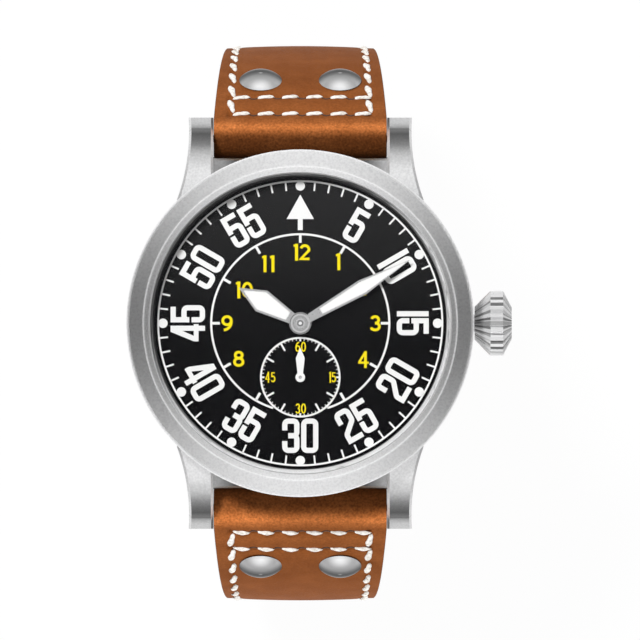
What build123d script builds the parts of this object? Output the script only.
from build123d import *
import os
from math import acos, atan2, cos, degrees, floor, hypot, radians, sin, sqrt

os.makedirs("parts", exist_ok=True)

# A hand-wound pilot watch with small seconds at 6 o'clock, on a buckled leather strap.
# Millimetres. The origin is the centre of the case back's outer face.
# +Z looks out of the dial, +Y is 12 o'clock and +X is 3 o'clock, where the crown is.

# Clearances and overruns
overrun = 1.0
fit_gap = 0.05
wheel_gap = 0.1
hand_gap = 0.2
soft_gap = 0.25

# Case, bezel and back
case_diameter = 44.0
flank_inset = 0.4
flank_shelf_share = 0.45
case_wall = 2.9
back_thickness = 1.3
back_rim_height = 1.7
back_rim_wall = 0.5
back_flange_width = 0.75
back_notch_radius = 0.9
back_notches = 6
back_gasket_width = 0.35
back_gasket_height = 0.5
case_chamfer = 0.9
neck_height = 0.75
neck_width = 1.05
bezel_height = 2.6
bezel_band_width = 2.15
bezel_step_drop = 0.3
bezel_edge_radius = 0.35
crystal_thickness = 1.4
crystal_bevel = 0.12
crystal_gasket_width = 0.15
crystal_gasket_height = 1.0
shelf_thickness = 0.35
shelf_overlap = 0.25
rehaut_width = 0.85
rehaut_slope = 0.45

# Lugs and spring bars
lug_gap = 22.06
lug_length = 4.1
lug_tip_width = 3.15
lug_flare = 1.46
lug_root_depth = 6.4
lug_bar_hole_depth = 1.2
lug_edge_chamfer = 0.3
bar_radius = 0.9
bar_tip_radius = 0.45
bar_tip_length = 1.0
bar_distance = 1.4
bar_z = 1.5
roll_radius = 2.45
roll_gap = 0.3

# Dial, hands and their hubs
dial_thickness = 0.4
dial_edge_gap = 0.15
dial_hole_radius = 1.05
dial_foot_radius = 0.4
dial_foot_length = 1.1
dial_foot_inset = 2.35
dial_foot_turns = (110, 290)
subdial_depth = 0.12
hand_thickness = 0.2
hand_rise = 0.4
hand_step = 0.4
inlay_rise = 0.04
hour_hand_width = 3.0
hour_hand_neck = 1.0
hour_hub_radius = 1.4
minute_hand_width = 2.0
minute_hand_neck = 0.9
minute_hub_radius = 1.25
hand_border = 0.26
seconds_hand_width = 1.14
seconds_hand_neck = 0.57
seconds_hub_radius = 0.61
hour_tube_radius = 0.9
cannon_tube_radius = 0.6
centre_arbor_radius = 0.4
seconds_pipe_radius = 0.3
hour_hand_angle = 300.0
minute_hand_angle = 60.0

# Crown and winding work
crown_gap = 0.1
crown_front_radius = 2.1
crown_body_radius = 4.1
crown_end_radius = 2.03
crown_cone_length = 2.0
crown_band_length = 1.6
crown_cap_length = 1.1
crown_flutes = 24
crown_bore_depth = 2.6
crown_pull_travel = 1.0
tube_radius = 1.1
stem_radius = 0.6
stem_thread_length = 1.2
stem_tip_length = 0.65
seal_width = 0.4
winding_module = 0.2
winding_pinion_teeth = 24
winding_pinion_length = 1.2
winding_engagement = 0.22
clutch_length = 0.8
clutch_radius = 1.4
clutch_gap = 0.15
crown_wheel_teeth = 30
ratchet_teeth = 65
ratchet_thickness = 0.5
ratchet_bore_radius = 1.0
setting_lever_arm = 3.0
setting_lever_width = 1.0
setting_pin_radius = 0.2
stem_groove_depth = 0.28
click_distance = 1.5
click_width = 0.9
click_pivot_radius = 0.4
click_spring_thickness = 0.15
click_spring_length = 3.0
click_turn = 160
click_tip_turn = 145
click_spring_turn = 55

# Movement plates
holder_wall = 0.7
back_space = 0.8
barrel_bridge_thickness = 0.7
train_bridge_thickness = 0.5
pallet_bridge_thickness = 0.25
plate_thickness = 1.5
motion_space = 0.65
pillar_radius = 0.9
screw_radius = 0.35
screw_head_radius = 0.7
screw_head_height = 0.3
screw_depth = 1.0
jewel_radius = 0.7
jewel_thickness = 0.3
arbor_radius = 0.22
stem_boss_width = 3.0
stem_boss_length = 2.0

# Wheels
wheel_thickness = 0.2
motion_wheel_thickness = 0.2
hub_radius = 0.9
arm_width = 0.5
wheel_arms = 5
fork_width = 0.3
stone_gap = 0.45
stone_turn = 38
pallet_foot_distance = 1.9
pallet_foot_turns = (60, -50)
level_gap = 0.4
pinion_length = 0.5
centre_pinion_length = 0.7
centre_teeth = 64
third_pinion_teeth = 8
third_teeth = 60
fourth_pinion_teeth = 8
fourth_teeth = 70
escape_pinion_teeth = 7
escape_teeth = 15
barrel_teeth = 72
centre_pinion_teeth = 12
motion_module = 0.1
cannon_teeth = 12
minute_wheel_teeth = 36
minute_pinion_teeth = 10
hour_wheel_teeth = 40
escape_wheel_turn = -20
escapement_turn = 4
minute_wheel_turn = 215
balance_rim_width = 0.5
balance_thickness = 0.35
balance_arm_turn = 30
roller_radius = 0.5
hairspring_wall = 0.1
hairspring_pitch = 0.4
hairspring_turns = 5
hairspring_height = 0.15
mainspring_wall = 0.3
mainspring_turns = 5
barrel_wall = 0.35
barrel_lid = 0.25
barrel_height = 1.6
barrel_arbor_radius = 1.6
barrel_pivot_radius = 0.6

# Strap, rivets, keepers and buckle
strap_outer_radius = 35.4
strap_thickness = 3.2
lining_thickness = 1.2
strap_lug_gap = 0.15
strap_tail_width = 18.0
strap_side_width = 18.4
strap_side_height = 2.7
strap_end_depth = 8.3
short_corner_radius = 14.0
long_corner_radius = 20.0
tail_turn = 50.0
rivet_radius = 2.7
rivet_height = 1.15
rivet_shank_radius = 0.9
rivet_washer_height = 0.35
rivet_spread = 5.05
rivet_length = 9.6
hole_radius = 1.15
hole_pitch = 7.0
holes_before = 1
holes_after = 3
keeper_length = 5.5
keeper_wall = 1.6
free_keeper_gap = 0.16
buckle_y = -5.0
buckle_bar_radius = 0.8
buckle_tip_radius = 0.5
buckle_tip_length = 1.2
buckle_length = 9.5
buckle_rod_radius = 1.2
buckle_arm_width = 1.7
buckle_arm_gap = 0.5
tongue_width = 1.6
tongue_thickness = 1.0
tongue_ring_wall = 0.65
tongue_drop = 1.7

# Shares of the movement's radius that size and place its wheels
train_module_share = 0.0082
escape_module_share = 0.00656
barrel_module_share = 0.01202
seconds_offset_share = 0.3738
escape_wheel_share = 0.142
pallet_distance_share = 0.1694
balance_radius_share = 0.2623
balance_distance_share = 0.3213
winding_pinion_share = 0.6885
setting_lever_share = 0.8197

# Shares of the dial, the small dial and the strap
hour_hand_share = 0.475
minute_hand_share = 0.8495
seconds_hand_share = 0.725
subdial_share = 0.76
mainspring_pitch_share = 0.161
flat_drop_share = 0.6469
fixed_keeper_share = 0.3475

# Shares that shape the outlines
tooth_shares = ((-0.2, 0.0), (-0.1, 1.0), (0.1, 1.0), (0.2, 0.0))
addendum_share = 0.9
dedendum_share = 1.25
lug_top_shares = ((0.0, 0.97), (0.42, 0.92), (0.68, 0.76), (0.84, 0.5), (1.0, 0.08))
lug_bottom_shares = ((1.0, -0.03), (0.93, -0.1), (0.74, -0.09), (0.42, 0.1), (0.0, 0.12))
hour_belly_share = 0.63
minute_belly_share = 0.565
seconds_belly_share = 0.64
hour_window_shares = (0.2, 0.94)
minute_window_shares = (0.19, 0.95)
train_bridge_shares = (
    (-0.09, 0.085), (0.25, 0.085), (0.27, -0.17), (0.31, -0.56), (0.13, -0.77),
    (-0.16, -0.76), (-0.52, -0.66), (-0.66, -0.1), (-0.6, 0.04),
)
barrel_bridge_shares = (
    (-0.88, 0.11), (0.3, 0.11), (0.3, -0.16), (0.95, -0.16), (0.95, 0.25), (0.7, 0.68),
    (0.3, 0.94), (-0.15, 0.97), (-0.6, 0.77),
)
train_pillar_shares = ((-0.57, -0.05), (-0.42, -0.6), (0.02, -0.71))
barrel_pillar_shares = ((0.88, 0.17), (-0.44, 0.78), (-0.83, 0.21))
cock_foot_share = (0.245, -0.85)
flute_shares = (1.0, 0.97, 0.86, 0.97)
escape_tooth_shares = ((0.0, 0.8), (0.06, 1.0), (0.12, 0.98), (0.3, 0.8))

# Radii that follow from the case
case_radius = case_diameter / 2
bore_radius = case_radius - case_wall
body_radius = case_radius - flank_inset
lug_tip_y = case_radius + lug_length
lug_root_y = case_radius - lug_root_depth
bar_y = case_radius + bar_distance
flank_flat_y = bar_y - roll_radius - roll_gap
flank_lip_y = bar_y - sqrt((roll_radius + roll_gap) ** 2 - bar_z**2)
crown_start = case_radius + crown_gap
thread_radius = bore_radius + fit_gap + back_rim_wall
groove_radius = thread_radius + fit_gap + back_gasket_width + fit_gap * 2
flange_radius = thread_radius + back_flange_width
rehaut_outer = bore_radius + fit_gap * 4
rehaut_inner = rehaut_outer - rehaut_width
neck_inner = rehaut_outer + fit_gap
neck_outer = neck_inner + neck_width
crystal_radius = rehaut_outer - rehaut_width + rehaut_slope + fit_gap * 2
crystal_seat_radius = crystal_radius + crystal_gasket_width
dial_radius = bore_radius - dial_edge_gap
dial_foot_distance = dial_radius - dial_foot_inset
hour_hand_length = dial_radius * hour_hand_share
minute_hand_length = dial_radius * minute_hand_share
movement_radius = bore_radius - holder_wall - fit_gap * 2

# Sizes that follow from the movement's radius
train_module = movement_radius * train_module_share
escape_module = movement_radius * escape_module_share
barrel_module = movement_radius * barrel_module_share
seconds_offset = movement_radius * seconds_offset_share
subdial_radius = seconds_offset * subdial_share
seconds_hand_length = subdial_radius * seconds_hand_share
escape_wheel_radius = movement_radius * escape_wheel_share
pallet_distance = movement_radius * pallet_distance_share
balance_radius = movement_radius * balance_radius_share
balance_distance = movement_radius * balance_distance_share
winding_pinion_x = movement_radius * winding_pinion_share
setting_lever_x = movement_radius * setting_lever_share
stem_inner_end = winding_pinion_x - clutch_gap - clutch_length - stem_tip_length
back_top = back_thickness

# Heights that follow from the movement's stack
ratchet_z = back_top + back_space
bridge_z = ratchet_z + ratchet_thickness + wheel_gap
fourth_z = bridge_z + train_bridge_thickness + wheel_gap
third_z = fourth_z + wheel_thickness + level_gap
centre_z = third_z + wheel_thickness + level_gap
centre_pinion_z = centre_z + wheel_thickness
plate_z = centre_pinion_z + centre_pinion_length + wheel_gap
plate_top = plate_z + plate_thickness
dial_z = plate_top + motion_space
dial_top = dial_z + dial_thickness
hairspring_z = bridge_z + train_bridge_thickness + wheel_gap
balance_z = hairspring_z + hairspring_height + wheel_gap * 2
pallet_bridge_z = balance_z + balance_thickness + wheel_gap
fork_z = pallet_bridge_z + pallet_bridge_thickness + wheel_gap
barrel_z = centre_z + wheel_thickness + wheel_gap
winding_tip = winding_module * (winding_pinion_teeth / 2 + addendum_share)
stem_z = bridge_z + winding_tip - wheel_gap - winding_engagement
case_top = dial_top + rehaut_width
bezel_top = case_top + bezel_height
shelf_z = case_top + neck_height + fit_gap
crystal_z = shelf_z + shelf_thickness
seconds_hand_z = dial_top + hand_gap
hour_hand_z = dial_top + hand_rise + hand_thickness
minute_hand_z = hour_hand_z + hand_step

# Places of the wheels, seen from the dial side
centre_xy = (0, 0)
seconds_xy = (0, -seconds_offset)


def crossing(first, first_distance, second, second_distance, side):
    """The point at two distances from two centres, on one side of their line."""
    dx = second[0] - first[0]
    dy = second[1] - first[1]
    span = hypot(dx, dy)
    along = (first_distance**2 - second_distance**2 + span**2) / (2 * span)
    across = side * sqrt(first_distance**2 - along**2)
    x = first[0] + (along * dx - across * dy) / span
    y = first[1] + (along * dy + across * dx) / span
    return (x, y)


def polar(centre, distance, angle):
    """The point at a distance and an angle in degrees from a centre."""
    return (centre[0] + distance * cos(radians(angle)), centre[1] + distance * sin(radians(angle)))


def heading(start, end):
    """The angle in degrees of the line from one point to another."""
    return degrees(atan2(end[1] - start[1], end[0] - start[0]))


def mesh_distance(module, teeth_a, teeth_b):
    """How far apart two meshing wheels stand."""
    return module * (teeth_a + teeth_b) / 2


third_xy = crossing(
    centre_xy, mesh_distance(train_module, centre_teeth, third_pinion_teeth),
    seconds_xy, mesh_distance(train_module, third_teeth, fourth_pinion_teeth), -1,
)
escape_distance = mesh_distance(escape_module, fourth_teeth, escape_pinion_teeth)
escape_xy = polar(seconds_xy, escape_distance, escape_wheel_turn)
pallet_xy = polar(escape_xy, pallet_distance, escapement_turn)
balance_xy = polar(escape_xy, balance_distance, escapement_turn)
crown_wheel_root = winding_module * (crown_wheel_teeth / 2 - dedendum_share)
crown_wheel_xy = (winding_pinion_x - wheel_gap - crown_wheel_root, 0)
barrel_xy = crossing(
    centre_xy, mesh_distance(barrel_module, barrel_teeth, centre_pinion_teeth),
    crown_wheel_xy, mesh_distance(winding_module, ratchet_teeth, crown_wheel_teeth), 1,
)
minute_wheel_distance = mesh_distance(motion_module, cannon_teeth, minute_wheel_teeth)
minute_wheel_xy = polar(centre_xy, minute_wheel_distance, minute_wheel_turn)
cock_foot_xy = (cock_foot_share[0] * movement_radius, cock_foot_share[1] * movement_radius)
hour_module = 2 * minute_wheel_distance / (minute_pinion_teeth + hour_wheel_teeth)


def disc(radius, height, z=0, xy=(0, 0)):
    """An upright cylinder that stands on the height z."""
    return Pos(xy[0], xy[1], z + height / 2) * Cylinder(radius, height)


def tube(outer, inner, height, z=0, xy=(0, 0)):
    """An upright ring."""
    return disc(outer, height, z, xy) - disc(inner, height + overrun * 2, z - overrun, xy)


def rod_x(radius, x_start, x_end, y=0, z=0):
    """A cylinder that lies along X."""
    return Pos((x_start + x_end) / 2, y, z) * Rot(0, 90, 0) * Cylinder(radius, x_end - x_start)


def block(x_span, y_span, z_span):
    """A box from its three spans."""
    size = [span[1] - span[0] for span in (x_span, y_span, z_span)]
    middle = [(span[0] + span[1]) / 2 for span in (x_span, y_span, z_span)]
    return Pos(*middle) * Box(*size)


def ring_of(points):
    """A turned ring from its half section of radius and height."""
    section = make_face(Polyline(*points, close=True))
    return revolve(Plane.XZ * section, Axis.Z)


def slab(points, height, z=0):
    """A flat plate from its outline."""
    return Pos(0, 0, z) * extrude(make_face(Polyline(*points, close=True)), amount=height)


def capsule(start, end, width, height, z):
    """A flat bar with round ends between two points."""
    length = hypot(end[0] - start[0], end[1] - start[1])
    middle = ((start[0] + end[0]) / 2, (start[1] + end[1]) / 2)
    bar = Rot(0, 0, heading(start, end)) * Box(length, width, height)
    bar = Pos(middle[0], middle[1], z + height / 2) * bar
    return bar + disc(width / 2, height, z, start) + disc(width / 2, height, z, end)


def toothed_disc(teeth, module, height, z, xy, phase):
    """A spur wheel whose first tooth points at the phase angle."""
    pitch_radius = module * teeth / 2
    root = pitch_radius - dedendum_share * module
    depth = (addendum_share + dedendum_share) * module
    points = []
    for tooth in range(teeth):
        for turn_share, rise_share in tooth_shares:
            angle = phase + 360 * (tooth + turn_share) / teeth
            points.append(polar(xy, root + depth * rise_share, angle))
    return slab(points, height, z)


def meshed_phase(phase, teeth, other_teeth, direction):
    """The phase that puts a gap of the other wheel where this one has a tooth."""
    offset = (direction - phase) * teeth / 360
    offset = offset - floor(offset)
    return direction + 180 - 360 / other_teeth * (1 / 2 - offset)


def crossed_wheel(teeth, module, height, z, xy, phase):
    """A wheel with windows cut between its arms."""
    wheel = toothed_disc(teeth, module, height, z, xy, phase)
    rim = module * (teeth / 2 - dedendum_share * 2) - hub_radius / 2
    window_reach = (rim + hub_radius) / 2
    widest = window_reach * sin(radians(180 / wheel_arms)) - arm_width / 2
    window_radius = min((rim - hub_radius) / 2, widest)
    for arm in range(wheel_arms):
        place = polar(xy, window_reach, phase + 360 * arm / wheel_arms)
        wheel -= disc(window_radius, height + overrun * 2, z - overrun, place)
    return wheel


def write(shape, node):
    """Write one named piece."""
    export_step(shape, f"parts/{node}.step")
    return shape


# Case middle with its four lugs

def side_curve(shares, root_y, reach, height):
    """Points of a lug's side view, from the case outwards."""
    return [(root_y + reach * along, height * up) for along, up in shares]


def make_lug():
    """One lug at the upper right, from its side view and its plan."""
    inner_x = lug_gap / 2
    tip_y = lug_tip_y
    reach = tip_y - lug_root_y
    top = side_curve(lug_top_shares, lug_root_y, reach, case_top)
    bottom = side_curve(lug_bottom_shares, lug_root_y, reach, case_top)
    tip_edge = Polyline(top[-1], bottom[0])
    root_edge = Polyline(bottom[-1], top[0])
    side = make_face(Spline(*top) + tip_edge + Spline(*bottom) + root_edge)
    width = lug_tip_width + lug_flare * 2 + overrun
    body = Pos(inner_x, 0, 0) * extrude(Plane.YZ * side, amount=width)
    outer_tip = inner_x + lug_tip_width
    outline = make_face(
        Polyline((inner_x, lug_root_y), (inner_x, tip_y), (outer_tip, tip_y))
        + Spline(
            (outer_tip, tip_y), (outer_tip + lug_flare / 4, lug_root_y + reach * 3 / 8),
            (outer_tip + lug_flare, lug_root_y),
        )
        + Polyline((outer_tip + lug_flare, lug_root_y), (inner_x, lug_root_y))
    )
    plan = Pos(0, 0, -case_top) * extrude(outline, amount=case_top * 3)
    lug = body & plan
    ridge = lug.edges().filter_by(lambda edge: edge.center().Z > case_top / 3 and edge.length > reach * 3 / 4)
    return chamfer(ridge, lug_edge_chamfer)


def turned(shape):
    """Four copies of a shape, mirrored left and right and up and down."""
    pair = shape + mirror(shape, Plane.YZ)
    return pair + mirror(pair, Plane.XZ)


def make_case():
    """The case middle: a turned ring with lugs, flat flanks between them and the tube hole."""
    ring = ring_of([
        (0, back_top), (body_radius - case_chamfer, back_top), (body_radius, back_top + case_chamfer),
        (body_radius, case_top), (neck_outer, case_top), (neck_outer, case_top + neck_height),
        (0, case_top + neck_height),
    ])
    side_gap = lug_gap / 2
    flank_cut = block((-side_gap, side_gap), (flank_flat_y, lug_tip_y + overrun), (0, case_top))
    ring -= flank_cut
    ring -= mirror(flank_cut, Plane.XZ)
    flank_z = case_top * flank_shelf_share
    flank = block((-side_gap, side_gap), (lug_root_y, flank_flat_y), (back_top, flank_z))
    flank += block((-side_gap, side_gap), (lug_root_y, flank_lip_y), (0, bar_z))
    flank -= rod_x(roll_radius + roll_gap, -side_gap - overrun, side_gap + overrun, bar_y, bar_z)
    case = ring + flank + mirror(flank, Plane.XZ) + turned(make_lug())
    thread_hole = thread_radius + fit_gap
    groove_top = back_top + back_gasket_height + fit_gap
    thread_top = back_top + back_rim_height + fit_gap
    case -= ring_of([
        (0, -overrun), (flange_radius + fit_gap, -overrun), (flange_radius + fit_gap, back_top),
        (groove_radius, back_top), (groove_radius, groove_top), (thread_hole, groove_top),
        (thread_hole, thread_top), (bore_radius, thread_top), (bore_radius, dial_top), (neck_inner, dial_top),
        (neck_inner, bezel_top), (0, bezel_top),
    ])
    case -= rod_x(tube_radius + fit_gap / 2, bore_radius - overrun, case_radius + overrun, 0, stem_z)
    half_bar = lug_gap / 2 + lug_bar_hole_depth
    for row in (-1, 1):
        case -= rod_x(bar_tip_radius + fit_gap, -half_bar, half_bar, row * bar_y, bar_z)
    return case


def make_back():
    """The screw-in back, with notches for its key."""
    back = disc(flange_radius, back_thickness)
    back += tube(thread_radius, bore_radius + fit_gap, back_rim_height, back_top)
    for notch in range(back_notches):
        place = polar((0, 0), flange_radius, 360 * notch / back_notches)
        back -= disc(back_notch_radius, back_thickness / 2 + overrun, -overrun, place)
    return back


def make_bezel():
    """The bezel: a flat band, a step down to the crystal and a rounded rim."""
    step_radius = case_radius - bezel_band_width
    rim = bezel_edge_radius
    profile = (
        Polyline(
            (neck_outer + fit_gap, shelf_z), (neck_outer + fit_gap, case_top),
            (case_radius - rim / 2, case_top), (case_radius, case_top + rim / 2),
            (case_radius, bezel_top - rim),
        )
        + RadiusArc((case_radius, bezel_top - rim), (case_radius - rim, bezel_top), rim)
        + Polyline(
            (case_radius - rim, bezel_top), (step_radius, bezel_top),
            (crystal_seat_radius, bezel_top - bezel_step_drop), (crystal_seat_radius, crystal_z),
            (crystal_radius - shelf_overlap, crystal_z), (crystal_radius - shelf_overlap, shelf_z),
            (neck_outer + fit_gap, shelf_z),
        )
    )
    return revolve(Plane.XZ * make_face(profile), Axis.Z)


def make_crystal():
    """The flat crystal with a small bevel."""
    top = crystal_z + crystal_thickness
    return ring_of([
        (0, crystal_z), (crystal_radius, crystal_z), (crystal_radius, top - crystal_bevel),
        (crystal_radius - crystal_bevel, top), (0, top),
    ])


def make_rehaut():
    """The sloping ring between dial and crystal."""
    return ring_of([
        (rehaut_inner, dial_top), (rehaut_outer, dial_top), (rehaut_outer, shelf_z - fit_gap),
        (rehaut_inner + rehaut_slope, shelf_z - fit_gap),
    ])


def make_dial():
    """The dial with its sunk small-seconds ring, two holes and two feet."""
    dial = disc(dial_radius, dial_thickness, dial_z)
    dial -= disc(subdial_radius, subdial_depth + overrun, dial_top - subdial_depth, seconds_xy)
    dial -= disc(dial_hole_radius, dial_thickness + overrun * 2, dial_z - overrun)
    dial -= disc(seconds_pipe_radius + wheel_gap, dial_thickness + overrun * 2, dial_z - overrun, seconds_xy)
    for place in dial_feet:
        dial += disc(dial_foot_radius, dial_foot_length, dial_z - dial_foot_length, place)
    return dial


dial_feet = [polar((0, 0), dial_foot_distance, turn) for turn in dial_foot_turns]

back_gasket = tube(
    groove_radius - fit_gap, thread_radius + fit_gap * 2, back_gasket_height, back_top
)
crystal_gasket = tube(
    crystal_seat_radius - fit_gap / 2, crystal_radius + fit_gap / 2, crystal_gasket_height, crystal_z
)
holder_top = dial_z - wheel_gap
holder_z = back_top + back_rim_height + wheel_gap
movement_ring = tube(bore_radius - fit_gap, movement_radius + fit_gap, holder_top - holder_z, holder_z)
movement_ring -= rod_x(tube_radius + fit_gap, 0, bore_radius + overrun, 0, stem_z)

write(make_case(), "case")
write(make_bezel(), "bezel")
write(make_crystal(), "crystal")
write(crystal_gasket, "crystal_gasket")
write(make_rehaut(), "rehaut_ring")
write(make_back(), "case_back")
write(back_gasket, "back_gasket")
write(movement_ring, "movement_ring")
write(make_dial(), "dial")


# Hands

def hand_outline(length, neck, width, belly_share, shrink):
    """Half-turned leaf outline along +Y, drawn in by the shrink."""
    belly = length * belly_share
    return [
        (neck / 2 - shrink, 0), (width / 2 - shrink, belly), (shrink / 4, length - shrink * 3),
        (-shrink / 4, length - shrink * 3), (shrink - width / 2, belly), (shrink - neck / 2, 0),
    ]


def make_hand(length, neck, width, belly_share, window_shares, hub_radius, bore, height, angle):
    """A leaf hand with a window, and the white inlay that fills it."""
    blade = slab(hand_outline(length, neck, width, belly_share, 0)[:2] + [(0, length)]
                 + hand_outline(length, neck, width, belly_share, 0)[4:], hand_thickness, height)
    inner = slab(hand_outline(length, neck, width, belly_share, hand_border), hand_thickness * 3,
                 height - hand_thickness)
    span = block((-width, width), (length * window_shares[0], length * window_shares[1]),
                 (height - overrun, height + overrun))
    window = inner & span
    frame = blade + disc(hub_radius, hand_thickness, height)
    frame -= window
    frame -= disc(bore, overrun * 2, height - overrun)
    inlay = window & block((-width, width), (0, length), (height, height + hand_thickness + inlay_rise))
    turn = Rot(0, 0, -angle)
    return turn * frame, turn * inlay


hour_hand, hour_inlay = make_hand(
    hour_hand_length, hour_hand_neck, hour_hand_width, hour_belly_share, hour_window_shares,
    hour_hub_radius, hour_tube_radius, hour_hand_z, hour_hand_angle,
)
minute_hand, minute_inlay = make_hand(
    minute_hand_length, minute_hand_neck, minute_hand_width, minute_belly_share, minute_window_shares,
    minute_hub_radius, cannon_tube_radius, minute_hand_z, minute_hand_angle,
)


def make_seconds_hand():
    """The small white seconds hand, with a pipe that grips the fourth wheel's arbor."""
    belly = seconds_hand_length * seconds_belly_share
    leaf = slab(
        [(seconds_hand_neck / 2, 0), (seconds_hand_width / 2, belly), (0, seconds_hand_length),
         (-seconds_hand_width / 2, belly), (-seconds_hand_neck / 2, 0)],
        hand_thickness / 2, seconds_hand_z,
    )
    hand = leaf + disc(seconds_hub_radius, hand_thickness, seconds_hand_z)
    hand += disc(seconds_pipe_radius, hand_gap + subdial_depth, seconds_hand_z - hand_gap - subdial_depth)
    hand -= disc(arbor_radius, hand_thickness * 2 + overrun, seconds_hand_z - overrun - hand_gap)
    return Pos(seconds_xy[0], seconds_xy[1], 0) * hand


write(hour_hand, "hour_hand")
write(hour_inlay, "hour_hand_inlay")
write(minute_hand, "minute_hand")
write(minute_inlay, "minute_hand_inlay")
write(make_seconds_hand(), "seconds_hand")


# Crown, tube and stem

def flute_section(radius, x):
    """A star outline across the crown, with a ridge and a groove for each flute."""
    points = []
    for flute in range(crown_flutes):
        for part, depth_share in enumerate(flute_shares):
            angle = radians(360 * (flute + part / len(flute_shares)) / crown_flutes)
            reach = radius * depth_share
            points.append((x, reach * cos(angle), reach * sin(angle)))
    return make_face(Polyline(*points, close=True))


crown_band_start = crown_start + crown_cone_length
crown_band_end = crown_band_start + crown_band_length
crown_end = crown_band_end + crown_cap_length
crown_steps = (
    (crown_start, crown_front_radius), (crown_band_start, crown_body_radius),
    (crown_band_end, crown_body_radius), (crown_end, crown_end_radius),
)
stem_end = crown_start + crown_bore_depth + stem_thread_length


def make_crown():
    """The fluted onion crown, hollow over its tube."""
    body = loft([flute_section(radius, x) for x, radius in crown_steps], ruled=True)
    body -= rod_x(tube_radius + seal_width, crown_start - overrun, crown_start + crown_bore_depth)
    body -= rod_x(stem_radius + fit_gap / 2, crown_start, stem_end + fit_gap)
    return Pos(0, 0, stem_z) * body


def make_stem():
    """The stem, with the groove that the setting lever holds."""
    stem = rod_x(stem_radius, stem_inner_end, stem_end, 0, stem_z)
    half = setting_pin_radius + wheel_gap
    start = setting_lever_x - half
    end = setting_lever_x + half
    groove = rod_x(stem_radius + overrun, start, end, 0, stem_z)
    groove -= rod_x(stem_radius - stem_groove_depth, start, end, 0, stem_z)
    return stem - groove


tube_start = bore_radius + fit_gap
tube_end = crown_start + crown_cone_length / 2
crown_tube = rod_x(tube_radius, tube_start, tube_end, 0, stem_z)
crown_tube -= rod_x(stem_radius + fit_gap, tube_start - overrun, tube_end + overrun, 0, stem_z)
seal_start = crown_start + seal_width
crown_seal = rod_x(tube_radius + seal_width - fit_gap, seal_start, seal_start + seal_width, 0, stem_z)
crown_seal -= rod_x(tube_radius + fit_gap, 0, crown_end, 0, stem_z)

write(make_crown(), "crown")
write(make_stem(), "winding_stem")
write(crown_tube, "crown_tube")
write(crown_seal, "crown_seal")


# Winding work

winding_pinion_end = winding_pinion_x + winding_pinion_length
crown_wheel_phase = 180 / crown_wheel_teeth
ratchet_phase = meshed_phase(
    crown_wheel_phase, crown_wheel_teeth, ratchet_teeth, heading(crown_wheel_xy, barrel_xy)
)
ratchet_tip = winding_module * (ratchet_teeth / 2 + addendum_share)
click_xy = polar(barrel_xy, ratchet_tip + click_distance, click_turn)
click_tip = polar(barrel_xy, ratchet_tip + click_width / 2 + wheel_gap, click_tip_turn)
click_spring_reach = ratchet_tip + click_width + wheel_gap * 2 + click_spring_thickness
click_spring_start = polar(barrel_xy, click_spring_reach, click_tip_turn)
click_spring_end = polar(click_spring_start, click_spring_length, click_spring_turn)
setting_pivot = (setting_lever_x, setting_lever_arm)

pinion = toothed_disc(winding_pinion_teeth, winding_module, winding_pinion_length, 0, (0, 0), 0)
pinion -= disc(stem_radius + fit_gap, winding_pinion_length + overrun * 2, -overrun)
winding_pinion = Pos(winding_pinion_x, 0, stem_z) * Rot(0, 90, 0) * pinion
clutch_end = winding_pinion_x - clutch_gap
clutch_pinion = rod_x(clutch_radius, clutch_end - clutch_length, clutch_end, 0, stem_z)
clutch_pinion -= rod_x(stem_radius + fit_gap, 0, crown_start, 0, stem_z)

crown_wheel = toothed_disc(
    crown_wheel_teeth, winding_module, ratchet_thickness, ratchet_z, crown_wheel_xy, crown_wheel_phase
)
crown_wheel -= disc(ratchet_bore_radius + fit_gap, ratchet_z * 2, 0, crown_wheel_xy)
ratchet_wheel = toothed_disc(
    ratchet_teeth, winding_module, ratchet_thickness, ratchet_z, barrel_xy, ratchet_phase
)
ratchet_wheel -= disc(ratchet_bore_radius, ratchet_z * 2, 0, barrel_xy)

click = capsule(click_xy, click_tip, click_width, ratchet_thickness, ratchet_z)
click += disc(click_pivot_radius, barrel_bridge_thickness, ratchet_z + ratchet_thickness, click_xy)
click_spring = capsule(
    click_spring_start, click_spring_end, click_spring_thickness, ratchet_thickness, ratchet_z
)
lever_z = plate_top + fit_gap
setting_lever = capsule(setting_pivot, (setting_lever_x, 0), setting_lever_width, wheel_thickness, lever_z)
setting_lever += disc(click_pivot_radius, plate_thickness / 2, lever_z - plate_thickness / 2, setting_pivot)
pin_z = stem_z + stem_radius - stem_groove_depth + fit_gap
setting_lever += disc(setting_pin_radius, lever_z - pin_z, pin_z, (setting_lever_x, 0))

write(winding_pinion, "winding_pinion")
write(clutch_pinion, "clutch_pinion")
write(crown_wheel, "crown_wheel")
write(ratchet_wheel, "ratchet_wheel")
write(click, "click")
write(click_spring, "click_spring")
write(setting_lever, "setting_lever")


# Plates, bridges, screws and jewels

def pillars(shares, height, z):
    """Round feet that carry a bridge up to the main plate."""
    feet = disc(pillar_radius, height, z, scaled(shares[0]))
    for place in shares[1:]:
        feet += disc(pillar_radius, height, z, scaled(place))
    return feet


def scaled(place):
    """A place on the movement from its shares of the movement's radius."""
    return (place[0] * movement_radius, place[1] * movement_radius)


pallet_feet = [polar(pallet_xy, pallet_foot_distance, turn) for turn in pallet_foot_turns]
screw_places = [scaled(place) for place in train_pillar_shares + barrel_pillar_shares]
screw_places.append(cock_foot_xy)
train_pivots = [centre_xy, third_xy, seconds_xy, escape_xy]
upper_pivots = [third_xy, escape_xy, pallet_xy, balance_xy]


def cut_screws(shape):
    """Clear the bridge screws."""
    for place in screw_places:
        shape -= disc(screw_radius + fit_gap, plate_z + screw_depth + fit_gap, 0, place)
    return shape


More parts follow.
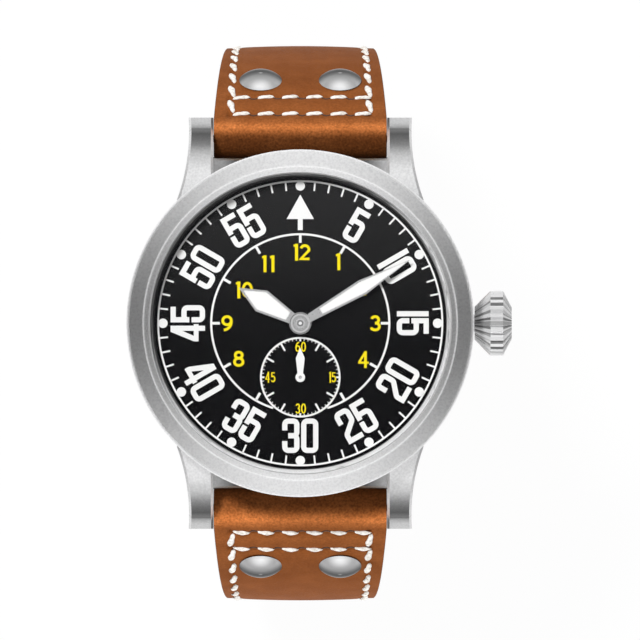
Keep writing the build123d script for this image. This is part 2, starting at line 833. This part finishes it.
def make_plate():
    """The main plate, with the barrel's recess, the stem's boss and the jewel holes."""
    plate = disc(movement_radius, plate_thickness, plate_z)
    boss_start = movement_radius - stem_boss_length
    boss = block((boss_start, movement_radius), (-stem_boss_width / 2, stem_boss_width / 2),
                 (stem_z - stem_radius * 2, plate_z + fit_gap))
    plate += boss & disc(movement_radius, dial_z)
    plate -= rod_x(stem_radius + fit_gap, stem_inner_end - fit_gap, movement_radius + overrun, 0, stem_z)
    barrel_tip = barrel_module * (barrel_teeth / 2 + addendum_share) + wheel_gap
    plate -= disc(barrel_tip, barrel_z + barrel_height + wheel_gap, 0, barrel_xy)
    plate -= disc(barrel_pivot_radius + fit_gap, dial_z, 0, barrel_xy)
    slot_half = winding_tip + wheel_gap
    plate -= block((winding_pinion_x - wheel_gap, winding_pinion_end + wheel_gap), (-slot_half, slot_half),
                   (plate_z - overrun, dial_z))
    clutch_half = clutch_radius + wheel_gap
    plate -= block((clutch_end - clutch_length - wheel_gap, winding_pinion_x), (-clutch_half, clutch_half),
                   (plate_z - overrun, dial_z))
    plate -= disc(click_pivot_radius + fit_gap, plate_thickness, lever_z - plate_thickness / 2 - fit_gap,
                  setting_pivot)
    pin_room = setting_pin_radius + wheel_gap
    plate -= block((setting_lever_x - pin_room, setting_lever_x + crown_pull_travel + pin_room),
                   (-pin_room, pin_room * 2), (plate_z - overrun, dial_z))
    plate -= disc(centre_arbor_radius + wheel_gap, dial_z, 0)
    plate -= disc(arbor_radius + wheel_gap, dial_z, 0, seconds_xy)
    plate -= disc(arbor_radius + wheel_gap, dial_z, 0, minute_wheel_xy)
    for place in upper_pivots:
        plate -= disc(jewel_radius, dial_z, 0, place)
    for place in dial_feet:
        plate -= disc(dial_foot_radius + fit_gap, dial_foot_length + fit_gap + overrun,
                      dial_z - dial_foot_length - fit_gap, place)
    return cut_screws(plate)


def make_barrel_bridge():
    """The bridge over the barrel, which also carries the crown wheel's post."""
    bridge = slab([scaled(place) for place in barrel_bridge_shares], barrel_bridge_thickness, bridge_z)
    slot_half = winding_tip + wheel_gap
    bridge -= block((winding_pinion_x - wheel_gap, winding_pinion_end + wheel_gap), (-slot_half, slot_half),
                    (0, dial_z))
    bridge += disc(ratchet_bore_radius, ratchet_thickness + wheel_gap, ratchet_z, crown_wheel_xy)
    foot_z = bridge_z + barrel_bridge_thickness
    bridge += pillars(barrel_pillar_shares, plate_z - foot_z, foot_z)
    bridge -= disc(ratchet_bore_radius + fit_gap, dial_z, 0, barrel_xy)
    bridge -= disc(click_pivot_radius + fit_gap, dial_z, 0, click_xy)
    return cut_screws(bridge)


def make_train_bridge():
    """The bridge that holds the lower pivots of the wheel train."""
    bridge = slab([scaled(place) for place in train_bridge_shares], train_bridge_thickness, bridge_z)
    foot_z = bridge_z + train_bridge_thickness
    bridge += pillars(train_pillar_shares, plate_z - foot_z, foot_z)
    for place in train_pivots:
        bridge -= disc(jewel_radius, dial_z, 0, place)
    return cut_screws(bridge)


def make_cock():
    """The arm that carries the balance."""
    cock = capsule(cock_foot_xy, balance_xy, pillar_radius * 3, train_bridge_thickness, bridge_z)
    foot_z = bridge_z + train_bridge_thickness
    cock += disc(pillar_radius, plate_z - foot_z, foot_z, cock_foot_xy)
    cock -= disc(jewel_radius, dial_z, 0, balance_xy)
    return cut_screws(cock)


def make_pallet_bridge():
    """The small bridge over the pallet fork."""
    bridge = disc(pillar_radius / 2, pallet_bridge_thickness, pallet_bridge_z, pallet_xy)
    foot_z = pallet_bridge_z + pallet_bridge_thickness
    for place in pallet_feet:
        bridge += capsule(pallet_xy, place, pillar_radius, pallet_bridge_thickness, pallet_bridge_z)
        bridge += disc(pillar_radius / 2, plate_z - foot_z, foot_z, place)
    bridge -= disc(arbor_radius + fit_gap, dial_z, 0, pallet_xy)
    return bridge


def make_screws():
    """The screws that hold the bridges to the main plate."""
    screws = []
    for place in screw_places:
        screw = disc(screw_head_radius, screw_head_height, bridge_z - screw_head_height, place)
        screw += disc(screw_radius, plate_z + screw_depth - bridge_z, bridge_z, place)
        slot = block((-screw_head_radius, screw_head_radius), (-fit_gap, fit_gap),
                     (0, bridge_z - screw_head_height * 2 / 3))
        screws.append(screw - Pos(place[0], place[1], 0) * slot)
    return Compound(children=screws)


def make_jewels():
    """The ring jewels of the pivots, in the bridges and the main plate."""
    jewels = []
    for place in train_pivots[1:]:
        jewels.append(tube(jewel_radius, arbor_radius + fit_gap, jewel_thickness, bridge_z, place))
    jewels.append(tube(jewel_radius, centre_arbor_radius + fit_gap, jewel_thickness, bridge_z, centre_xy))
    jewels.append(tube(jewel_radius, arbor_radius + fit_gap, jewel_thickness, bridge_z, balance_xy))
    for place in upper_pivots:
        jewels.append(tube(jewel_radius, arbor_radius + fit_gap, jewel_thickness, plate_z, place))
    return Compound(children=jewels)


write(make_plate(), "main_plate")
write(make_barrel_bridge(), "barrel_bridge")
write(make_train_bridge(), "train_bridge")
write(make_cock(), "balance_cock")
write(make_pallet_bridge(), "pallet_bridge")
write(make_screws(), "bridge_screws")
write(make_jewels(), "pivot_jewels")


# Wheel train

centre_phase = 0
third_pinion_phase = meshed_phase(
    centre_phase, centre_teeth, third_pinion_teeth, heading(centre_xy, third_xy)
)
third_phase = 0
fourth_pinion_phase = meshed_phase(
    third_phase, third_teeth, fourth_pinion_teeth, heading(third_xy, seconds_xy)
)
fourth_phase = 0
escape_pinion_phase = meshed_phase(
    fourth_phase, fourth_teeth, escape_pinion_teeth, heading(seconds_xy, escape_xy)
)
centre_pinion_phase = 0
barrel_phase = meshed_phase(
    centre_pinion_phase, centre_pinion_teeth, barrel_teeth, heading(centre_xy, barrel_xy)
)
pivot_z = bridge_z + fit_gap
pivot_top = plate_z + jewel_thickness


def make_arbor(radius, top, xy):
    """A wheel's arbor, from its lower pivot up to a height."""
    return disc(radius, top - pivot_z, pivot_z, xy)


def make_centre_wheel():
    """The centre wheel with its pinion and the long arbor that carries the cannon pinion."""
    wheel = crossed_wheel(centre_teeth, train_module, wheel_thickness, centre_z, centre_xy, centre_phase)
    wheel += toothed_disc(
        centre_pinion_teeth, barrel_module, centre_pinion_length, centre_pinion_z, centre_xy,
        centre_pinion_phase,
    )
    return wheel + make_arbor(centre_arbor_radius - fit_gap, minute_hand_z + hand_thickness, centre_xy)


def make_third_wheel():
    """The third wheel and its pinion, which the centre wheel drives."""
    wheel = crossed_wheel(third_teeth, train_module, wheel_thickness, third_z, third_xy, third_phase)
    pinion_z = centre_z - (pinion_length - wheel_thickness) / 2
    wheel += toothed_disc(
        third_pinion_teeth, train_module, pinion_length, pinion_z, third_xy, third_pinion_phase
    )
    return wheel + make_arbor(arbor_radius, pivot_top, third_xy)


def make_fourth_wheel():
    """The fourth wheel, whose arbor reaches through the dial to the seconds hand."""
    wheel = crossed_wheel(fourth_teeth, escape_module, wheel_thickness, fourth_z, seconds_xy, fourth_phase)
    pinion_z = third_z - (pinion_length - wheel_thickness) / 2
    wheel += toothed_disc(
        fourth_pinion_teeth, train_module, pinion_length, pinion_z, seconds_xy, fourth_pinion_phase
    )
    return wheel + make_arbor(arbor_radius, seconds_hand_z + hand_thickness, seconds_xy)


def make_escape_wheel():
    """The escape wheel with its pointed teeth, and its pinion."""
    points = []
    for tooth in range(escape_teeth):
        for turn_share, reach_share in escape_tooth_shares:
            angle = 360 * (tooth + turn_share) / escape_teeth
            points.append(polar(escape_xy, escape_wheel_radius * reach_share, angle))
    wheel = slab(points, wheel_thickness, fork_z)
    pinion_z = fourth_z - fit_gap
    wheel += toothed_disc(
        escape_pinion_teeth, escape_module, pinion_length, pinion_z, escape_xy, escape_pinion_phase
    )
    return wheel + make_arbor(arbor_radius, pivot_top, escape_xy)


def make_pallet_fork():
    """The pallet fork: two arms towards the escape wheel and a lever towards the balance."""
    fork = disc(hub_radius / 2, wheel_thickness, fork_z, pallet_xy)
    line = heading(escape_xy, balance_xy)
    for side in (-1, 1):
        stone = polar(escape_xy, escape_wheel_radius + stone_gap, line + side * stone_turn)
        fork += capsule(pallet_xy, stone, fork_width, wheel_thickness, fork_z)
    lever_end = polar(pallet_xy, hypot(balance_xy[0] - pallet_xy[0], balance_xy[1] - pallet_xy[1])
                      - roller_radius * 2 - fork_width, line)
    fork += capsule(pallet_xy, lever_end, fork_width, wheel_thickness, fork_z)
    staff_z = pallet_bridge_z + fit_gap
    return fork + disc(arbor_radius, pivot_top - staff_z, staff_z, pallet_xy)


def make_balance():
    """The balance wheel: rim, two arms, staff and roller."""
    rim = tube(balance_radius, balance_radius - balance_rim_width, balance_thickness, balance_z, balance_xy)
    inner = balance_radius - balance_rim_width / 2
    arm_start = polar(balance_xy, inner, balance_arm_turn)
    arm_end = polar(balance_xy, -inner, balance_arm_turn)
    rim += capsule(arm_start, arm_end, balance_rim_width, balance_thickness, balance_z)
    rim += disc(roller_radius, wheel_thickness, fork_z, balance_xy)
    return rim + make_arbor(arbor_radius, pivot_top, balance_xy)


def make_spiral(start_radius, pitch, turns, wall, height, z, xy):
    """A flat spiral spring, made of half turns that grow by half the pitch."""
    edges = []
    for side in (wall / 2, -wall / 2):
        for half in range(turns * 2):
            radius = start_radius + pitch / 2 * half + side
            shift = pitch / 2 * (half % 2)
            sign = 1 - 2 * (half % 2)
            edges.append(ThreePointArc(
                (shift + sign * radius, 0), (shift, sign * radius), (shift - sign * radius, 0)
            ))
    last = start_radius + pitch / 2 * (turns * 2 - 1)
    far = pitch / 2 + last
    edges.append(Line((start_radius - wall / 2, 0), (start_radius + wall / 2, 0)))
    edges.append(Line((far - wall / 2, 0), (far + wall / 2, 0)))
    section = make_face(Curve() + edges)
    return Pos(xy[0], xy[1], z) * extrude(section, amount=height)


def make_barrel():
    """The toothed drum that holds the mainspring, open below."""
    root = barrel_module * (barrel_teeth / 2 - dedendum_share)
    drum_radius = root - wheel_gap
    drum = disc(drum_radius, barrel_height, barrel_z, barrel_xy)
    drum += toothed_disc(barrel_teeth, barrel_module, level_gap, barrel_z + fit_gap, barrel_xy, barrel_phase)
    room = barrel_height - barrel_lid + overrun
    drum -= disc(drum_radius - barrel_wall, room, barrel_z - overrun, barrel_xy)
    return drum - disc(barrel_pivot_radius + fit_gap, dial_z, 0, barrel_xy)


barrel_inner = barrel_module * (barrel_teeth / 2 - dedendum_share) - wheel_gap - barrel_wall
mainspring_pitch = (barrel_inner - barrel_arbor_radius) * mainspring_pitch_share
barrel_cover = tube(
    barrel_inner - fit_gap / 2, ratchet_bore_radius + fit_gap, barrel_lid, barrel_z, barrel_xy
)
spring_z = barrel_z + barrel_lid + wheel_gap
spring_height = barrel_height - barrel_lid * 2 - wheel_gap * 2
barrel_arbor = disc(ratchet_bore_radius, spring_z - ratchet_z, ratchet_z, barrel_xy)
barrel_arbor += disc(barrel_arbor_radius, spring_height, spring_z, barrel_xy)
barrel_arbor += disc(barrel_pivot_radius, plate_top - spring_z, spring_z, barrel_xy)
mainspring = make_spiral(
    barrel_arbor_radius + mainspring_wall, mainspring_pitch, mainspring_turns, mainspring_wall,
    spring_height, spring_z, barrel_xy,
)
hairspring = make_spiral(
    arbor_radius + hairspring_pitch, hairspring_pitch, hairspring_turns, hairspring_wall,
    hairspring_height, hairspring_z, balance_xy,
)

write(make_centre_wheel(), "centre_wheel")
write(make_third_wheel(), "third_wheel")
write(make_fourth_wheel(), "fourth_wheel")
write(make_escape_wheel(), "escape_wheel")
write(make_pallet_fork(), "pallet_fork")
write(make_balance(), "balance_wheel")
write(hairspring, "hairspring")
write(make_barrel(), "barrel")
write(barrel_cover, "barrel_cover")
write(barrel_arbor, "barrel_arbor")
write(mainspring, "mainspring")


# Motion work behind the dial

motion_z = plate_top + wheel_gap
motion_upper_z = motion_z + motion_wheel_thickness + fit_gap
minute_wheel_phase = meshed_phase(
    0, cannon_teeth, minute_wheel_teeth, heading(centre_xy, minute_wheel_xy)
)
hour_wheel_phase = meshed_phase(
    0, minute_pinion_teeth, hour_wheel_teeth, heading(minute_wheel_xy, centre_xy)
)
cannon_pinion = toothed_disc(cannon_teeth, motion_module, motion_wheel_thickness, motion_z, centre_xy, 0)
cannon_pinion += disc(cannon_tube_radius - fit_gap, minute_hand_z + hand_thickness - motion_z, motion_z)
cannon_pinion += disc(cannon_tube_radius, hand_thickness, minute_hand_z)
cannon_pinion -= disc(centre_arbor_radius, overrun * 4, motion_z - overrun)
minute_wheel = toothed_disc(
    minute_wheel_teeth, motion_module, motion_wheel_thickness, motion_z, minute_wheel_xy, minute_wheel_phase
)
minute_wheel += toothed_disc(
    minute_pinion_teeth, hour_module, motion_wheel_thickness + fit_gap, motion_z + motion_wheel_thickness,
    minute_wheel_xy, 0,
)
minute_wheel += disc(arbor_radius, motion_z - plate_z, plate_z, minute_wheel_xy)
hour_wheel = toothed_disc(
    hour_wheel_teeth, hour_module, motion_wheel_thickness, motion_upper_z, centre_xy, hour_wheel_phase
)
hour_wheel += disc(hour_tube_radius, hour_hand_z + hand_thickness - motion_upper_z, motion_upper_z)
hour_wheel -= disc(cannon_tube_radius, overrun * 4, motion_z)

write(cannon_pinion, "cannon_pinion")
write(minute_wheel, "minute_wheel")
write(hour_wheel, "hour_wheel")


# Strap halves, in side view: angles run from straight up, over +Y, down to the flat

def around(centre_y, centre_z, radius, angle):
    """A point of the side view at an angle from straight up."""
    return (centre_y + radius * sin(radians(angle)), centre_z + radius * cos(radians(angle)))


def arc_between(centre_y, centre_z, radius, start, end):
    """An arc of the side view between two angles."""
    return ThreePointArc(
        around(centre_y, centre_z, radius, start), around(centre_y, centre_z, radius, (start + end) / 2),
        around(centre_y, centre_z, radius, end),
    )


strap_centre_z = bar_z - sqrt((strap_outer_radius - roll_radius) ** 2 - bar_y**2)
bar_angle = degrees(atan2(bar_y, bar_z - strap_centre_z))
short_flat_z = strap_centre_z - strap_outer_radius * flat_drop_share
long_flat_z = short_flat_z - soft_gap - strap_thickness
tail_centre_z = short_flat_z + short_corner_radius


def shoulder_end(flat_z, corner_radius):
    """The angle where the shoulder passes into the bottom corner."""
    return degrees(acos((flat_z - strap_centre_z + corner_radius) / (strap_outer_radius - corner_radius)))


def corner_centre(flat_z, corner_radius):
    """The centre of the bottom corner's arc."""
    return around(0, strap_centre_z, strap_outer_radius - corner_radius, shoulder_end(flat_z, corner_radius))


tail_corner_y = corner_centre(short_flat_z, short_corner_radius)[0]


def strap_layer(flat_z, corner_radius, shallow, deep, start_angle, end_y, tail_y=None):
    """One leather layer between two depths under the outer surface."""
    turn = shoulder_end(flat_z, corner_radius)
    corner_y, corner_z = corner_centre(flat_z, corner_radius)
    tail_radius = short_corner_radius + soft_gap + strap_thickness
    edges = []
    ends = []
    for depth in (shallow, deep):
        edges.append(arc_between(0, strap_centre_z, strap_outer_radius - depth, start_angle, turn))
        edges.append(arc_between(corner_y, corner_z, corner_radius - depth, turn, 180))
        edges.append(Line((corner_y, flat_z + depth), (end_y, flat_z + depth)))
        last = (end_y, flat_z + depth)
        if tail_y is not None:
            edges.append(arc_between(tail_y, tail_centre_z, tail_radius - depth, 180, 180 + tail_turn))
            last = around(tail_y, tail_centre_z, tail_radius - depth, 180 + tail_turn)
        ends.append(last)
    edges.append(Line(ends[0], ends[1]))
    edges.append(Line(
        around(0, strap_centre_z, strap_outer_radius - shallow, start_angle),
        around(0, strap_centre_z, strap_outer_radius - deep, start_angle),
    ))
    section = make_face(Curve() + edges)
    half = lug_gap / 2
    return Pos(-half, 0, 0) * extrude(Plane.YZ * section, amount=lug_gap)


def width_envelope():
    """The strap's width, seen from the front: it narrows down the shoulders."""
    top = case_top
    bottom = long_flat_z - overrun
    points = [
        (lug_gap / 2 - strap_lug_gap, top), (lug_gap / 2 - strap_lug_gap, bar_z + bar_radius),
        (strap_side_width / 2, strap_centre_z + strap_side_height),
        (strap_tail_width / 2, strap_centre_z - strap_end_depth),
        (strap_tail_width / 2, bottom),
    ]
    outline = points + [(-x, z) for x, z in reversed(points)]
    face = make_face(Polyline(*outline, close=True))
    reach = strap_outer_radius * 2
    return Pos(0, reach / 2, 0) * extrude(Plane.XZ * face, amount=reach)


rivet_angle = bar_angle + degrees(rivet_length / strap_outer_radius)


def rivet_place(x):
    """Where a rivet's head sits on the outer surface, with its axis square to it."""
    y, z = around(0, strap_centre_z, strap_outer_radius, rivet_angle)
    return Pos(x, y, z) * Rot(-rivet_angle, 0, 0)


def make_rivets():
    """Two domed rivets with their washers behind the lining."""
    depth = strap_thickness + wheel_gap + rivet_washer_height
    washer_radius = rivet_radius * 2 / 3
    body = disc(rivet_shank_radius, depth + rivet_height / 2, -depth)
    body += disc(washer_radius, rivet_washer_height, -depth)
    ball_radius = (rivet_radius**2 + rivet_height**2) / (2 * rivet_height)
    dome = Pos(0, 0, rivet_height - ball_radius) * Sphere(ball_radius)
    rivet = body + (dome & disc(rivet_radius, rivet_height))
    return Compound(children=[rivet_place(x) * rivet for x in (-rivet_spread, rivet_spread)])


def make_half(flat_z, corner_radius, end_y, tail_y=None):
    """The top leather and the lining of one strap half, on the +Y side."""
    split = strap_thickness - lining_thickness
    roll_end = bar_angle + degrees(2 * roll_radius / strap_outer_radius)
    top = strap_layer(flat_z, corner_radius, 0, split, bar_angle, end_y, tail_y)
    lining_end = end_y if tail_y is not None else end_y + strap_thickness
    lining = strap_layer(flat_z, corner_radius, split, strap_thickness, roll_end, lining_end, tail_y)
    half = lug_gap / 2
    roll = rod_x(roll_radius, -half, half, bar_y, bar_z)
    top = (top + roll) & width_envelope()
    lining = (lining - roll) & width_envelope()
    top -= rod_x(bar_radius + fit_gap, -lug_gap, lug_gap, bar_y, bar_z)
    hole = disc(rivet_shank_radius + fit_gap, strap_thickness * 2 + overrun * 2, -strap_thickness * 2)
    for x in (-rivet_spread, rivet_spread):
        top -= rivet_place(x) * hole
        lining -= rivet_place(x) * hole
    return top, lining


buckle_z = short_flat_z + strap_thickness / 2
short_top, short_lining = make_half(short_flat_z, short_corner_radius, buckle_y)
buckle_roll = rod_x(strap_thickness / 2, -strap_tail_width / 2, strap_tail_width / 2, buckle_y, buckle_z)
short_top += buckle_roll
short_top -= rod_x(buckle_bar_radius + fit_gap, -lug_gap, lug_gap, buckle_y, buckle_z)
notch_half = tongue_width / 2 + soft_gap
short_top -= block(
    (-notch_half, notch_half), (buckle_y - strap_thickness, buckle_y + strap_thickness * 2 / 3),
    (buckle_z - strap_thickness, buckle_z + strap_thickness),
)

long_top, long_lining = make_half(long_flat_z, long_corner_radius, -tail_corner_y, -tail_corner_y)
long_top = mirror(long_top, Plane.XZ)
long_lining = mirror(long_lining, Plane.XZ)
tongue_y = buckle_y - tongue_drop
tail_end_y, tail_end_z = around(
    -tail_corner_y, tail_centre_z, short_corner_radius + soft_gap + strap_thickness, 180 + tail_turn
)
tail_cut_face = make_face(Polyline(
    (strap_tail_width / 2 + overrun, long_flat_z + strap_thickness),
    (strap_tail_width / 2 + overrun, tail_end_z + strap_thickness),
    (strap_tail_width / 8, tail_end_z + strap_thickness),
    close=True,
))
tail_cut = extrude(Plane.XZ * tail_cut_face, amount=-tail_end_y - tail_corner_y)
tail_cut = Pos(0, -tail_end_y + overrun * 2, 0) * tail_cut


def punch(layer):
    """Cut the buckle holes and the pointed tail tip in one layer of the long half."""
    for count in range(-holes_before, holes_after + 1):
        place = (0, tongue_y + count * hole_pitch)
        layer -= disc(hole_radius, strap_thickness * 3, long_flat_z - strap_thickness, place)
    layer -= tail_cut
    return layer - mirror(tail_cut, Plane.YZ)


long_top = punch(long_top)
long_lining = punch(long_lining)
bar_length = lug_gap / 2 - fit_gap * 2


def make_spring_bar(radius, tip_radius, half_length, tip_length, y, z):
    """A spring bar: a tube with a thinner tip at each end."""
    bar = rod_x(radius, -half_length, half_length, y, z)
    return bar + rod_x(tip_radius, -half_length - tip_length, half_length + tip_length, y, z)


write(short_top, "strap_12_leather")
write(short_lining, "strap_12_lining")
write(long_top, "strap_6_leather")
write(long_lining, "strap_6_lining")
rivets = make_rivets()
write(rivets, "rivets_12")
write(mirror(rivets, Plane.XZ), "rivets_6")
write(make_spring_bar(bar_radius, bar_tip_radius, bar_length, bar_tip_length, bar_y, bar_z), "spring_bar_12")
write(make_spring_bar(bar_radius, bar_tip_radius, bar_length, bar_tip_length, -bar_y, bar_z), "spring_bar_6")


# Keepers and buckle

def make_keeper(y_start):
    """A leather loop round both strap halves."""
    inner_x = strap_tail_width / 2 + soft_gap
    inner_low = long_flat_z - soft_gap
    inner_high = short_flat_z + strap_thickness + soft_gap
    span = (y_start, y_start + keeper_length)
    outer_x = inner_x + keeper_wall
    loop = block((-outer_x, outer_x), span, (inner_low - keeper_wall, inner_high + keeper_wall))
    loop = fillet(loop.edges().filter_by(Axis.Y), keeper_wall * 3 / 4)
    return loop - block((-inner_x, inner_x), (span[0] - overrun, span[1] + overrun), (inner_low, inner_high))


def side_bar(start, end, thickness, x_start, x_end):
    """A round-ended bar in side view, between two points of Y and Z."""
    flat = capsule(start, end, thickness, x_end - x_start, x_start)
    return Plane.YZ.location * flat


rod_y = buckle_y - buckle_length
rod_z = long_flat_z - soft_gap - buckle_rod_radius
arm_inner = strap_tail_width / 2 + buckle_arm_gap
arm_outer = arm_inner + buckle_arm_width


def make_buckle_frame():
    """The buckle frame: two arms that turn on the bar and a front rod with the tongue's notch."""
    arm = side_bar((buckle_y, buckle_z), (rod_y, rod_z), buckle_rod_radius * 2, arm_inner, arm_outer)
    frame = arm + mirror(arm, Plane.YZ)
    frame += rod_x(buckle_rod_radius, -arm_outer, arm_outer, rod_y, rod_z)
    frame -= rod_x(buckle_tip_radius + fit_gap, -arm_outer, arm_outer, buckle_y, buckle_z)
    half = tongue_width / 2 + soft_gap
    return frame - block((-half, half), (rod_y - buckle_rod_radius, rod_y + buckle_rod_radius),
                         (rod_z - buckle_rod_radius * 2, rod_z + soft_gap))


def make_tongue():
    """The tongue: a ring on the bar, a leg through the strap hole and a tip in the frame's notch."""
    ring_radius = buckle_bar_radius + fit_gap + tongue_ring_wall
    half = tongue_width / 2
    tip_z = rod_z - tongue_thickness / 2 - wheel_gap
    knee_z = long_flat_z - tongue_thickness / 2 - soft_gap
    line = [
        (buckle_y, buckle_z - tongue_ring_wall), (tongue_y, buckle_z - tongue_ring_wall), (tongue_y, knee_z),
        (rod_y - tongue_thickness / 2, tip_z),
    ]
    tongue = rod_x(ring_radius, -half, half, buckle_y, buckle_z)
    for start, end in zip(line, line[1:]):
        tongue += side_bar(start, end, tongue_thickness, -half, half)
    return tongue - rod_x(buckle_bar_radius + fit_gap, -lug_gap, lug_gap, buckle_y, buckle_z)


fixed_keeper_y = buckle_y + (tail_corner_y - buckle_y) * fixed_keeper_share
free_keeper_y = tail_corner_y - keeper_length - free_keeper_gap
write(make_keeper(fixed_keeper_y), "fixed_keeper")
write(make_keeper(free_keeper_y), "free_keeper")
write(make_buckle_frame(), "buckle_frame")
write(make_tongue(), "buckle_tongue")
buckle_bar_half = arm_inner - fit_gap
write(
    make_spring_bar(
        buckle_bar_radius, buckle_tip_radius, buckle_bar_half, buckle_tip_length, buckle_y, buckle_z
    ),
    "buckle_bar",
)
